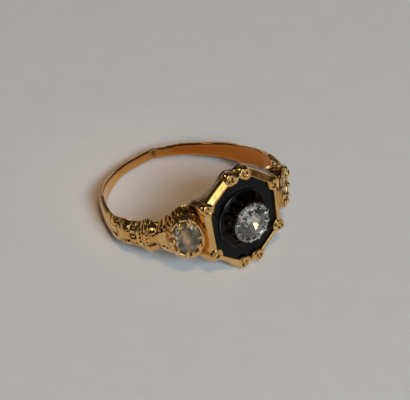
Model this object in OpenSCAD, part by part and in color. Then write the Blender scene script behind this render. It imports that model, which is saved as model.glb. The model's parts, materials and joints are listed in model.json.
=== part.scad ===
// Old gold mourning ring: a thin hoop with carved shoulders, a small stone in a collet on each
// shoulder, and a lobed bezel with a black plate that carries a larger stone in a silver collet.
// Everything is drawn round the hoop's axis (Z), with the bezel towards -Y, and is then leaned
// back to the pose in which the ring lies by itself on a flat surface.

/* [Hoop] */
// Inside diameter of the hoop
finger_d = 17; // [15:0.1:21]
// Thickness of the plain band
band_t = 0.55; // [0.45:0.05:0.9]
// Width of the band at the back
band_w_back = 1.1; // [0.8:0.05:1.8]
// Width of the band where it meets the shoulders
band_w_side = 2.3; // [1.8:0.05:2.8]
// Place of the solder seam, in degrees from the bezel round the right side
seam_angle = 164; // [160:1:172]
// Angle of the flat stretch on each side of the seam
seam_flat = 18; // [6:1:20]

/* [Shoulders] */
// Height of the carved shoulders above the finger hole, beside the collets
shoulder_h = 1.5; // [1.4:0.05:1.6]
// Height of the shoulders where they run out into the band
shoulder_h_end = 0.65; // [0.6:0.05:0.8]
// Half width of the small knuckle next to the band
knuckle_half_w = 1.3; // [1.2:0.05:1.5]
// Half width of the large knuckle next to the collet
crest_half_w = 1.7; // [1.5:0.05:1.9]
// Half width of the waists between them
waist_half_w = 1.2; // [1:0.05:1.4]

/* [Side collets] */
// Angle of each side collet from the bezel
collet_angle = 37.8; // [36:0.2:39]
// Height of a side collet's rim above the finger hole
collet_h = 1.95; // [1.8:0.05:2.4]
// Radius of a side stone
side_stone_r = 1.6; // [1.4:0.05:1.7]

/* [Bezel] */
// Height of the bezel's front above the finger hole
bezel_h = 1.1; // [1:0.05:1.8]
// Distance of the side bosses from the bezel's upright centre line
side_boss_x = 4.2; // [4:0.05:4.4]
// Height of the side bosses above and below the centre
side_boss_z = 2.58; // [2.4:0.02:2.8]
// Distance of the end bosses from the bezel's upright centre line
end_boss_x = 0.92; // [0.8:0.02:1.1]
// Height of the end bosses above and below the centre
end_boss_z = 4.92; // [4.6:0.02:5.1]
// Radius of a scroll boss on the rim
boss_r = 0.58; // [0.5:0.01:0.62]
// How far the bezel's wall swells beyond the rim, towards the finger
wall_swell = 0.08; // [0.02:0.01:0.15]
// Radius of the wall round the side bosses, where it swells most
side_swell_r = 0.95; // [0.7:0.05:1]
// Depth of the black plate below the rim
plate_sink = 0.25; // [0.15:0.05:0.4]
// Thickness of the black plate
plate_t = 0.5; // [0.4:0.05:0.6]

/* [Centre collet] */
// Radius of the centre stone
centre_stone_r = 1.95; // [1.8:0.05:2.05]
// Radius of the silver collet's foot
skirt_r = 3.15; // [2.9:0.05:3.3]
// Height of the silver collet above the plate
skirt_h = 1.5; // [1.3:0.05:1.8]

/* [Hidden] */
$fn = 96;

finger_r = finger_d / 2;
band_r = finger_r + band_t;
shoulder_r = finger_r + shoulder_h;
shoulder_end_r = finger_r + shoulder_h_end;
bezel_y = finger_r + bezel_h;
collet_top = finger_r + collet_h;
gap = 0.03;
over = 0.1;
wide = 30;

// The band's sides taper in a straight line from the shoulders to the back
taper_from_y = 0;
shoulder_end = 95;
shoulder_start = 44;
knuckle_angle = 80;
crest_angle = 61;
collet_edge = 49;
band_join = 1.1;

// The shoulders' backs lie on one cylinder, set towards the bezel so that they thin out to the band
back_shift = (shoulder_r ^ 2 - shoulder_end_r ^ 2)
    / (2 * (shoulder_r * cos(shoulder_start) - shoulder_end_r * cos(shoulder_end)));
back_r = sqrt(shoulder_r ^ 2 - 2 * shoulder_r * back_shift * cos(shoulder_start) + back_shift ^ 2);

// Half widths of the rim's straight stretches outside and inside the line through the bosses
rim_out = 0.4;
rim_dip = 0.1;
rim_in = 0.2;
rim_h = 0.45;
foot_reach = 2.2;
boss_rise = 0.16;
boss_taper = 0.12;
boss_core_r = 0.22;
boss_core_depth = 0.12;

bosses = [
    [side_boss_x, side_boss_z],
    [end_boss_x, end_boss_z],
    [-end_boss_x, end_boss_z],
    [-side_boss_x, side_boss_z],
    [-side_boss_x, -side_boss_z],
    [-end_boss_x, -end_boss_z],
    [end_boss_x, -end_boss_z],
    [side_boss_x, -side_boss_z]
];

// Side collet's outline, as [width beyond the stone, height above the finger hole]
collet_outline = [
    [0.95, 0.8],
    [0.65, 1],
    [0.6, 1.3],
    [0.38, 1.5],
    [0.38, collet_h]
];
collet_depth = 0.6;
cup_depth = 1.3;
cup_floor_share = 0.45;
seat_depth = 0.3;
grain_r = 0.26;
grain_count = 8;
grain_reach = side_stone_r + 0.12;
grain_sink = 0.05;

// Silver collet, with its outline as [radius, height above the plate]
lip_r = centre_stone_r + 0.22;
skirt_outline = [
    [skirt_r, 0],
    [skirt_r, 0.14],
    [skirt_r - 0.4, 0.42],
    [lip_r + 0.18, skirt_h * 0.62],
    [lip_r, skirt_h - 0.12],
    [lip_r - 0.05, skirt_h]
];
flute_r = 0.3;
flute_count = 16;
flute_lean = 34;
flute_reach = skirt_r + 0.12;
flute_start = 0.1;
claw_r = 0.24;
claw_count = 12;
claw_inset = 0.08;
claw_sink = 0.02;
stem_r = 0.8;
skirt_cup_floor_r = 0.7;
skirt_cup_floor = 0.35;
plate_front_y = bezel_y - plate_sink;
pocket_y = plate_front_y - plate_t - gap;

// Stones: heights of the crown, the girdle and the pavilion, and how deep the girdle lies under the rim
centre_cut = [0.62, 0.14, 0.75];
centre_stone_sink = 0.08;
side_cut = [0.4, 0.1, 0.85];
side_stone_sink = 0.14;

// Old cut, as shares of the girdle's radius and of the crown's height
cut_sides = 8;
table_share = 0.52;
main_share = 0.86;
star_share = 0.8;
star_rise = 0.55;
culet_share = 0.12;

// The ring rests on the wall under its two lower end bosses and on the lower edge of the seam's corner
foot_y = sqrt(finger_r ^ 2 - end_boss_x ^ 2);
rest_y = band_r / cos(seam_flat) * -cos(seam_angle);
rest_half_w = band_w_back / 2;
rest_tilt = atan((end_boss_z + boss_r + wall_swell - rest_half_w) / (rest_y + foot_y));
floor_drop = rest_y * sin(rest_tilt) + rest_half_w * cos(rest_tilt);
front_reach = (plate_front_y + skirt_h) * cos(rest_tilt) + lip_r * sin(rest_tilt);
back_reach = rest_y * cos(rest_tilt) + rest_half_w * sin(rest_tilt);
centre_y = (front_reach - back_reach) / 2;

function edge_length(a, b) = norm(b - a);
function edge_angle(a, b) = atan2(b[1] - a[1], b[0] - a[0]);

// Leans the ring back onto the surface and centres it over the origin
module at_rest() {
    translate([0, centre_y, floor_drop])
        rotate([-rest_tilt, 0, 0])
            children();
}

// Turns a thing that is drawn towards -Y to its place round the hoop
module round_hoop(angle) {
    rotate([0, 0, angle])
        children();
}

// Stands a shape, drawn with Z upwards, on the hoop at a height above the axis
module facing_out(height) {
    translate([0, -height, 0])
        rotate([90, 0, 0])
            children();
}

// Extrudes a side view, drawn with Y across and Z upwards, through the whole ring
module side_view() {
    translate([-wide / 2, 0, 0])
        rotate([90, 0, 90])
            linear_extrude(wide)
                children();
}

// Extrudes a top view through the whole ring
module top_view() {
    linear_extrude(wide, center = true)
        children();
}

// The corner that two flats, touching a circle on both sides of the seam, make outside it
module seam_corner(r) {
    reach = r / cos(seam_flat);
    rotate(seam_angle - 90)
        polygon([
            [0, 0],
            [r * cos(seam_flat), -r * sin(seam_flat)],
            [reach, 0],
            [r * cos(seam_flat), r * sin(seam_flat)]
        ]);
}

module band() {
    intersection() {
        top_view() {
            difference() {
                union() {
                    circle(band_r);
                    seam_corner(band_r);
                }
                circle(finger_r);
                seam_corner(finger_r);
            }
        }
        side_view() {
            polygon([
                [taper_from_y, -band_w_side / 2],
                [band_r + over, -band_w_back / 2],
                [band_r + over, band_w_back / 2],
                [taper_from_y, band_w_side / 2]
            ]);
        }
    }
}

// Distance of the shoulders' backs from the hoop's axis, at an angle from the bezel
function back_at(angle) = back_shift * cos(angle) + sqrt(back_r ^ 2 - (back_shift * sin(angle)) ^ 2);

// Round-backed section of a shoulder: an arc over a flat foot on the finger hole
module shoulder_section(half_w) {
    arc_r = (half_w * half_w + shoulder_h * shoulder_h) / (2 * shoulder_h);
    intersection() {
        translate([shoulder_r - arc_r, 0])
            circle(arc_r);
        translate([finger_r - over, -half_w])
            square([shoulder_h + 2 * over, 2 * half_w]);
    }
}

// Side view of both shoulders, with their two knuckles and the waists between
module shoulder_outline() {
    knuckle_y = -(finger_r + band_t) * cos(knuckle_angle);
    crest_y = -(finger_r + band_t) * cos(crest_angle);
    translate([knuckle_y, 0])
        circle(knuckle_half_w);
    translate([crest_y, 0])
        circle(crest_half_w);
    translate([-shoulder_r, -waist_half_w])
        square([shoulder_r, 2 * waist_half_w]);
    translate([-shoulder_r, -crest_half_w])
        square([shoulder_r * (1 - cos(collet_edge)), 2 * crest_half_w]);
    translate([-band_join, -band_w_side / 2])
        square([2 * band_join, band_w_side]);
}

// Cross grooves of the carving, as [angle from the bezel, radius, depth]
carved_grooves = [
    [53, 0.7, 0.25],
    [66.5, 0.35, 0.18],
    [74, 0.5, 0.2],
    [87, 0.6, 0.35]
];

// Fluted block: its pits, as heights above the middle
carved_pits = [-1.15, -0.4, 0.4, 1.15];
pit_angle = 70;
pit_r = 0.15;
pit_depth = 0.25;

module shoulder() {
    difference() {
        intersection() {
            rotate([0, 0, shoulder_start - 90])
                rotate_extrude(angle = shoulder_end - shoulder_start)
                    shoulder_section(crest_half_w + 0.15);
            side_view()
                shoulder_outline();
            translate([0, -back_shift, 0])
                cylinder(r = back_r, h = wide, center = true);
        }
        for (groove = carved_grooves)
            round_hoop(groove[0])
                translate([0, -(back_at(groove[0]) + groove[1] - groove[2]), 0])
                    cylinder(r = groove[1], h = wide, center = true);
        for (pit = carved_pits)
            round_hoop(pit_angle)
                translate([0, 0, pit])
                    facing_out(back_at(pit_angle) - pit_depth)
                        cylinder(r = pit_r, h = 1);
    }
}

module side_collet() {
    facing_out(finger_r)
        rotate_extrude()
            polygon(concat(
                [[0, -collet_depth], [side_stone_r + collet_outline[0][0], -collet_depth]],
                [for (row = collet_outline) [side_stone_r + row[0], row[1]]],
                [[0, collet_h]]
            ));
    for (i = [0 : grain_count - 1])
        translate([0, -(collet_top - grain_sink), 0])
            rotate([0, (i + 0.5) * 360 / grain_count, 0])
                translate([0, 0, grain_reach])
                    sphere(grain_r, $fn = 24);
}

// The hollow in a side collet: a cup under the stone, and the seat of its girdle
module side_cup() {
    facing_out(collet_top - cup_depth)
        cylinder(
            r1 = side_stone_r * cup_floor_share,
            r2 = side_stone_r,
            h = cup_depth - seat_depth + over / 10
        );
    facing_out(collet_top - seat_depth)
        cylinder(r = side_stone_r, h = 1);
}

// Flat outline through the bosses, grown outwards, with end and side bosses of the given radii
module rim_outline(grow, end_r, side_r) {
    difference() {
        union() {
            polygon(bosses);
            for (i = [0 : 7])
                rim_bar(bosses[i], bosses[(i + 1) % 8], grow);
        }
        for (i = [0 : 7])
            rim_hollow(bosses[i], bosses[(i + 1) % 8], grow, end_r);
    }
    for (boss = bosses)
        translate(boss)
            circle(abs(boss[0]) > end_boss_x ? side_r : end_r);
}

module rim_bar(from, to, half_w) {
    translate(from)
        rotate(edge_angle(from, to))
            translate([0, -half_w])
                square([edge_length(from, to), 2 * half_w]);
}

// Shallow arc cut into the outside of one stretch of the rim, clear of the bosses at its ends
module rim_hollow(from, to, grow, r) {
    half = edge_length(from, to) / 2 - r;
    arc_r = (half * half + rim_dip * rim_dip) / (2 * rim_dip);
    translate((from + to) / 2)
        rotate(edge_angle(from, to))
            translate([0, -(grow - rim_dip + arc_r)])
                circle(arc_r);
}

// The opening in the rim: straight edges, with the bosses standing into it
module rim_opening(inset, r) {
    difference() {
        polygon(bosses);
        for (i = [0 : 7])
            rim_bar(bosses[i], bosses[(i + 1) % 8], inset);
        for (boss = bosses)
            translate(boss)
                circle(r);
    }
}

module bezel() {
    difference() {
        union() {
            facing_out(bezel_y - rim_h - over)
                linear_extrude(rim_h + over)
                    rim_outline(rim_out, boss_r, boss_r);
            facing_out(finger_r - foot_reach)
                linear_extrude(bezel_h - rim_h + foot_reach)
                    rim_outline(rim_out + wall_swell, boss_r + wall_swell, side_swell_r);
            for (boss = bosses)
                translate([boss[0], 0, boss[1]])
                    facing_out(bezel_y - over)
                        cylinder(r1 = boss_r, r2 = boss_r - boss_taper, h = boss_rise + over);
        }
        for (boss = bosses)
            translate([boss[0], 0, boss[1]])
                facing_out(bezel_y + boss_rise - boss_core_depth)
                    cylinder(r1 = boss_core_r / 2, r2 = boss_core_r, h = boss_core_depth + over);
    }
}

module gold_mount() {
    color("goldenrod")
        at_rest()
            difference() {
                union() {
                    band();
                    bezel();
                    shoulder();
                    mirror([1, 0, 0])
                        shoulder();
                    round_hoop(collet_angle)
                        side_collet();
                    round_hoop(-collet_angle)
                        side_collet();
                }
                cylinder(r = finger_r, h = wide, center = true);
                for (side = [-1, 1])
                    round_hoop(side * collet_angle)
                        side_cup();
                facing_out(pocket_y)
                    linear_extrude(bezel_h + 1)
                        rim_opening(rim_in, boss_r);
            }
}

module black_plate() {
    color([0.02, 0.02, 0.03])
        at_rest()
            difference() {
                facing_out(pocket_y + gap)
                    linear_extrude(plate_t)
                        rim_opening(rim_in + gap, boss_r + gap);
                facing_out(pocket_y)
                    cylinder(r = stem_r + gap, h = 2 * plate_t);
            }
}

module centre_collet() {
    color("dimgray")
        at_rest()
            facing_out(plate_front_y + gap)
                difference() {
                    union() {
                        rotate_extrude()
                            polygon(concat([[0, 0]], skirt_outline, [[0, skirt_h]]));
                        for (i = [0 : claw_count - 1])
                            rotate([0, 0, (i + 0.5) * 360 / claw_count])
                                translate([lip_r - claw_inset, 0, skirt_h - claw_sink])
                                    sphere(claw_r, $fn = 24);
                        translate([0, 0, -plate_t])
                            cylinder(r = stem_r, h = plate_t + over);
                    }
                    for (i = [0 : flute_count - 1])
                        rotate([0, 0, i * 360 / flute_count])
                            translate([flute_reach, 0, flute_start])
                                rotate([0, -flute_lean, 0])
                                    cylinder(r = flute_r, h = skirt_h);
                    translate([0, 0, skirt_h - seat_depth])
                        cylinder(r = centre_stone_r, h = 1);
                    translate([0, 0, skirt_cup_floor])
                        cylinder(
                            r1 = skirt_cup_floor_r,
                            r2 = centre_stone_r,
                            h = skirt_h - seat_depth - skirt_cup_floor + over / 10
                        );
                }
}

// An old brilliant cut: a stepped crown with a table, a thin girdle and a blunt point below
module cut_stone(r, cut) {
    crown_h = cut[0];
    girdle_h = cut[1];
    depth = cut[2];
    rotate([0, 0, 180 / cut_sides])
        cylinder(r1 = r * main_share, r2 = r * table_share, h = crown_h, $fn = cut_sides);
    cylinder(r1 = r, r2 = r * star_share, h = crown_h * star_rise, $fn = cut_sides);
    translate([0, 0, -girdle_h])
        cylinder(r = r, h = girdle_h, $fn = cut_sides);
    translate([0, 0, -girdle_h - depth])
        cylinder(r1 = r * culet_share, r2 = r, h = depth, $fn = cut_sides);
}

module centre_stone() {
    color("white")
        at_rest()
            facing_out(plate_front_y + gap + skirt_h - centre_stone_sink)
                cut_stone(centre_stone_r - gap, centre_cut);
}

module side_stone(side) {
    at_rest()
        round_hoop(side * collet_angle)
            facing_out(collet_top - side_stone_sink)
                cut_stone(side_stone_r - gap, side_cut);
}

module left_stone() {
    color("lightgray")
        side_stone(-1);
}

module right_stone() {
    color("lightgray")
        side_stone(1);
}

gold_mount();
black_plate();
centre_collet();
centre_stone();
left_stone();
right_stone();
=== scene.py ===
import json
import math

import bmesh
import bpy
from mathutils import Matrix, Quaternion, Vector, noise


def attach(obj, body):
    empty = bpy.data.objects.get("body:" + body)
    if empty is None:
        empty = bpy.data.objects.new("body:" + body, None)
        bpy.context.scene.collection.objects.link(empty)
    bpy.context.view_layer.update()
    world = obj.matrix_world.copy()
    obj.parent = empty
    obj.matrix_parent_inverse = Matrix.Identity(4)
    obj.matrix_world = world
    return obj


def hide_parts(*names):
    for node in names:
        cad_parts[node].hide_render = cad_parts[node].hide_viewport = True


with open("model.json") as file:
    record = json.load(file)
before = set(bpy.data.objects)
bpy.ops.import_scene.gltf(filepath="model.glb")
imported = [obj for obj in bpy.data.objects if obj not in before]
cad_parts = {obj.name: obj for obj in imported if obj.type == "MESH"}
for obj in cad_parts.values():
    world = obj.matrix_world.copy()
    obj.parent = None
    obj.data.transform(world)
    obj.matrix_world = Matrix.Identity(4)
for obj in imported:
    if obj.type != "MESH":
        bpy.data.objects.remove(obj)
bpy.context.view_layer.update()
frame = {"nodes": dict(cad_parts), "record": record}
scene = bpy.context.scene

bore = next(mount for mount in frame["record"]["mounts"] if mount["name"] == "finger_bore")
boreAxis = Vector(bore["axis"])
fingerRadius = bore["dims"]["r_mm"]
millimetre = 0.001
mergeDistance = 0.0005       # millimetres
lean = math.atan2(boreAxis.y, boreAxis.z)
toRest = (
    Matrix.Translation(bore["pos_m"])
    @ Matrix.Rotation(-lean, 4, "X")
    @ Matrix.Scale(millimetre, 4)
)


# Shared helpers

def limited(value, most=1):
    # keeps a value between 0 and the most it may be
    return min(max(value, 0), most)


def along(rows, place):
    # eases between rows of [place, value, value ...]
    for low, high in zip(rows, rows[1:]):
        if place <= high[0]:
            share = limited((place - low[0]) / (high[0] - low[0]))
            ease = share * share * (3 - 2 * share)
            return [a + (b - a) * ease for a, b in zip(low[1:], high[1:])]
    return list(rows[-1][1:])


def dome(across, length, halfAcross, halfLength):
    # 1 in the middle of an oval, 0 outside it
    inside = 1 - (across / halfAcross) ** 2 - (length / halfLength) ** 2
    return math.sqrt(inside) if inside > 0 else 0


def cut(offset, halfWidth):
    # soft-edged groove, 1 at its middle
    share = abs(offset) / halfWidth
    return (1 - share * share) ** 2 if share < 1 else 0


def fadeBetween(height, low, high):
    # 1 halfway between two heights, fading out a little beyond them
    halfRun = 0.62    # of the distance between them
    return cut(height - (low + high) / 2, (high - low) * halfRun)


def unevenness(point, size, amount):
    return noise.noise(point / size) * amount


def roughen(bm, size, amount):
    # moves every point a little towards or away from the middle of the finger hole
    for vert in bm.verts:
        vert.co += vert.co.normalized() * unevenness(vert.co, size, amount)


def addBall(bm, centre, radius, stretch=(1, 1, 1), turn=0, segments=16):
    place = (
        Matrix.Translation(centre)
        @ Matrix.Rotation(turn, 4, "Z")
        @ Matrix.Diagonal((*stretch, 1))
    )
    return bmesh.ops.create_uvsphere(
        bm, u_segments=segments, v_segments=segments // 2 + 2, radius=radius, matrix=place
    )["verts"]


def spinProfile(bm, profile, steps):
    # turns a line of [radius, height] round Z; its ends on the axis close the shape
    corners = [bm.verts.new((radius, 0, height)) for radius, height in profile]
    edges = [bm.edges.new(pair) for pair in zip(corners, corners[1:])]
    bmesh.ops.spin(
        bm, geom=corners + edges, cent=(0, 0, 0), axis=(0, 0, 1), dvec=(0, 0, 0),
        angle=math.tau, steps=steps, use_merge=True, use_duplicate=False
    )
    bmesh.ops.remove_doubles(bm, verts=bm.verts, dist=mergeDistance)


def facingOut(angle, height):
    # stands a shape drawn with Z upwards on the hoop, at an angle from the bezel
    return (
        Matrix.Rotation(math.radians(angle), 4, "Z")
        @ Matrix.Translation((0, -height, 0))
        @ Matrix.Rotation(math.pi / 2, 4, "X")
    )


def keepOffFinger(bm):
    # lays whatever reaches into the finger hole back onto its wall
    for vert in bm.verts:
        reach = math.hypot(vert.co.x, vert.co.y)
        if reach < fingerRadius:
            vert.co.x *= fingerRadius / reach
            vert.co.y *= fingerRadius / reach


def finishPiece(bm, name, material, node, smooth=True):
    bmesh.ops.recalc_face_normals(bm, faces=bm.faces)
    bmesh.ops.transform(bm, matrix=toRest, verts=bm.verts)
    mesh = bpy.data.meshes.new(name)
    bm.to_mesh(mesh)
    bm.free()
    mesh.polygons.foreach_set("use_smooth", [smooth] * len(mesh.polygons))
    mesh.materials.append(material)
    piece = bpy.data.objects.new(name, mesh)
    scene.collection.objects.link(piece)
    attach(piece, "root")
    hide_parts(node)


# Materials

def nodeMaker(tree):
    def make(kind, **values):
        node = tree.nodes.new(kind)
        for key, value in values.items():
            setattr(node, key, value)
        return node
    return make


def newMaterial(name):
    material = bpy.data.materials.new(name)
    material.use_nodes = True
    return material, material.node_tree, material.node_tree.nodes["Principled BSDF"]


def objectNoise(tree, size, detail=3, roughness=0.5, stretch=(1, 1, 1)):
    # noise whose grains are size millimetres across
    make = nodeMaker(tree)
    place = make("ShaderNodeTexCoord")
    mapping = make("ShaderNodeMapping")
    mapping.inputs["Scale"].default_value = stretch
    grain = make("ShaderNodeTexNoise")
    grain.inputs["Scale"].default_value = 1 / (size * millimetre)
    grain.inputs["Detail"].default_value = detail
    grain.inputs["Roughness"].default_value = roughness
    tree.links.new(place.outputs["Object"], mapping.inputs["Vector"])
    tree.links.new(mapping.outputs["Vector"], grain.inputs["Vector"])
    return grain.outputs["Fac"]


def ramp(tree, source, stops):
    # colour ramp with [place, colour] stops
    node = nodeMaker(tree)("ShaderNodeValToRGB")
    elements = node.color_ramp.elements
    while len(elements) < len(stops):
        elements.new(0.5)
    for element, (place, colour) in zip(elements, stops):
        element.position = place
        element.color = (*colour, 1)
    tree.links.new(source, node.inputs["Fac"])
    return node.outputs["Color"]


def mixColour(tree, share, first, second):
    # laid over the first colour, the second one covers it by the share, which is a socket
    node = nodeMaker(tree)("ShaderNodeMix", data_type="RGBA")
    tree.links.new(share, node.inputs[0])
    tree.links.new(first, node.inputs[6])
    node.inputs[7].default_value = (*second, 1)
    return node.outputs[2]


def rangeOf(tree, source, low, high, toLow, toHigh):
    node = nodeMaker(tree)("ShaderNodeMapRange")
    for place, value in enumerate((low, high, toLow, toHigh)):
        if isinstance(value, bpy.types.NodeSocket):
            tree.links.new(value, node.inputs[place + 1])
        else:
            node.inputs[place + 1].default_value = value
    tree.links.new(source, node.inputs[0])
    return node.outputs[0]


def bumpFrom(tree, height, distance, strength, normal=None):
    node = nodeMaker(tree)("ShaderNodeBump")
    node.inputs["Distance"].default_value = distance * millimetre
    node.inputs["Strength"].default_value = strength
    tree.links.new(height, node.inputs["Height"])
    if normal:
        tree.links.new(normal, node.inputs["Normal"])
    return node.outputs["Normal"]


# in the materials' dictionaries a noise is its size in millimetres, detail, roughness and stretch,
# a range is from, to, and what they become, and a bump is its depth in millimetres and its strength
goldLook = {
    "skin": [(0.35, (0.87, 0.48, 0.14)), (0.65, (0.93, 0.60, 0.24))],
    # colour of the redder skin and of the painted warm reflection of gold on gold
    "red": (0.78, 0.31, 0.065),
    # colour of grime and of painted shade in hollows, cuts and on shaded walls
    "grime_and_shade": (0.060, 0.026, 0.010),
    "worn": (0.98, 0.74, 0.38),
    # colour of solder and of painted highlights
    "solder": (0.96, 0.74, 0.42),
    "foil": (0.44, 0.44, 0.34),
    "patches": (2.2, 4),
    "hollows": (0.490, 0.455, 0, 0.75),    # pointiness where grime and painted shade gather
    "edges": (0.53, 0.60, 0, 0.6),         # pointiness that is worn bright
    "smears": (0.8, 5, 0.65),
    "smearRough": (0.35, 0.7, 0.12, 0.26),
    "paleFrom": 0.2,
    "paleRough": 0.45,
    "dents": (0.55, 2),
    "dentBump": (0.04, 0.18),
    "scratches": (0.12, 2, 0.6, (1, 1, 6)),
    "scratchBump": (0.005, 0.25),
}


def goldMaterial():
    look = goldLook
    material, tree, shader = newMaterial("worn_gold")
    make = nodeMaker(tree)
    pointiness = make("ShaderNodeNewGeometry").outputs["Pointiness"]
    solder, grime_and_shade, red_tint_and_reflection, foil = (
        make("ShaderNodeAttribute", attribute_name=name).outputs["Fac"]
        for name in ("solder", "grime_and_shade", "red_tint_and_reflection", "foil")
    )
    colour = ramp(tree, objectNoise(tree, *look["patches"]), look["skin"])
    # redder skin and painted warm reflection of gold on gold
    colour = mixColour(tree, red_tint_and_reflection, colour, look["red"])
    colour = mixColour(tree, rangeOf(tree, pointiness, *look["edges"]), colour, look["worn"])
    # pale solder at the seam, and painted highlights on the band's edge and the collets' grains
    colour = mixColour(tree, solder, colour, look["solder"])
    # grime and painted shade in the hollows, found by pointiness
    colour = mixColour(tree, rangeOf(tree, pointiness, *look["hollows"]), colour, look["grime_and_shade"])
    # grime, such as the smudge at the seam, and painted shade laid on by the pieces in cuts, pits, walls,
    # ribs and rims
    colour = mixColour(tree, grime_and_shade, colour, look["grime_and_shade"])
    colour = mixColour(tree, foil, colour, look["foil"])
    tree.links.new(colour, shader.inputs["Base Color"])
    shader.inputs["Metallic"].default_value = 1
    rough = rangeOf(tree, objectNoise(tree, *look["smears"]), *look["smearRough"])
    rough = rangeOf(tree, solder, look["paleFrom"], 1, rough, look["paleRough"])
    tree.links.new(rough, shader.inputs["Roughness"])
    normal = bumpFrom(tree, objectNoise(tree, *look["dents"]), *look["dentBump"])
    normal = bumpFrom(tree, objectNoise(tree, *look["scratches"]), *look["scratchBump"], normal)
    tree.links.new(normal, shader.inputs["Normal"])
    return material


plateLook = {
    "skin": [(0.4, (0.002, 0.002, 0.003)), (0.75, (0.004, 0.004, 0.004))],
    "veil": (1.6, 4),
    "rub": (0.35, 5, 0.7),
    "rubRough": (0.35, 0.75, 0.06, 0.18),
    "waves": (1.1, 1),
    "waveBump": (0.03, 0.25),
    "index": 1.27,
}


def plateMaterial():
    look = plateLook
    material, tree, shader = newMaterial("black_onyx")
    colour = ramp(tree, objectNoise(tree, *look["veil"]), look["skin"])
    tree.links.new(colour, shader.inputs["Base Color"])
    rough = rangeOf(tree, objectNoise(tree, *look["rub"]), *look["rubRough"])
    tree.links.new(rough, shader.inputs["Roughness"])
    normal = bumpFrom(tree, objectNoise(tree, *look["waves"]), *look["waveBump"])
    tree.links.new(normal, shader.inputs["Normal"])
    shader.inputs["IOR"].default_value = look["index"]
    return material


silverLook = {
    "skin": [(0.4, (0.014, 0.012, 0.012)), (0.7, (0.034, 0.028, 0.025))],
    "bright": (0.95, 0.95, 0.94),
    "patches": (0.7, 3),
    "grit": (0.4, 3, 0.5),
    "gritRough": (0.3, 0.7, 0.22, 0.38),
    "brightRough": 0.10,
    "gritBump": (0.015, 0.3),
}


def silverMaterial():
    look = silverLook
    material, tree, shader = newMaterial("tarnished_silver")
    rubbed_and_highlight = nodeMaker(tree)("ShaderNodeAttribute", attribute_name="rubbed_and_highlight").outputs["Fac"]
    colour = ramp(tree, objectNoise(tree, *look["patches"]), look["skin"])
    # bright silver where rubbed, in the cup, and as a painted highlight on one side of the lip
    colour = mixColour(tree, rubbed_and_highlight, colour, look["bright"])
    tree.links.new(colour, shader.inputs["Base Color"])
    shader.inputs["Metallic"].default_value = 1
    grit = objectNoise(tree, *look["grit"])
    rough = rangeOf(tree, grit, *look["gritRough"])
    rough = rangeOf(tree, rubbed_and_highlight, 0, 1, rough, look["brightRough"])
    tree.links.new(rough, shader.inputs["Roughness"])
    tree.links.new(bumpFrom(tree, grit, *look["gritBump"]), shader.inputs["Normal"])
    return material


stoneLook = {
    # colours of the stone and of its clouds, and how much light goes through it
    "clear_stone": ([(0.40, (0.99, 0.99, 0.98)), (0.62, (0.92, 0.89, 0.78))], 0.98),
    "grey_stone": ([(0.40, (0.82, 0.73, 0.54)), (0.62, (0.26, 0.24, 0.17))], 0.90),
    "clouds": (0.8, 2),
    "polish": (0.3, 3),
    "polishRough": (0.4, 0.7, 0.0, 0.05),
    "polishBump": (0.004, 0.2),
    "index": 1.9,
}


def stoneMaterial(name):
    look = stoneLook
    skin, clearness = look[name]
    material, tree, shader = newMaterial(name)
    colour = ramp(tree, objectNoise(tree, *look["clouds"]), skin)
    tree.links.new(colour, shader.inputs["Base Color"])
    polish = objectNoise(tree, *look["polish"])
    tree.links.new(rangeOf(tree, polish, *look["polishRough"]), shader.inputs["Roughness"])
    tree.links.new(bumpFrom(tree, polish, *look["polishBump"]), shader.inputs["Normal"])
    shader.inputs["Transmission Weight"].default_value = clearness
    shader.inputs["IOR"].default_value = look["index"]
    return material


gold = goldMaterial()
onyx = plateMaterial()
silver = silverMaterial()
clearStone = stoneMaterial("clear_stone")
greyStone = stoneMaterial("grey_stone")
print("materials made")


# Hoop: the plain band and both carved shoulders, one sweep round the finger hole

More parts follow.
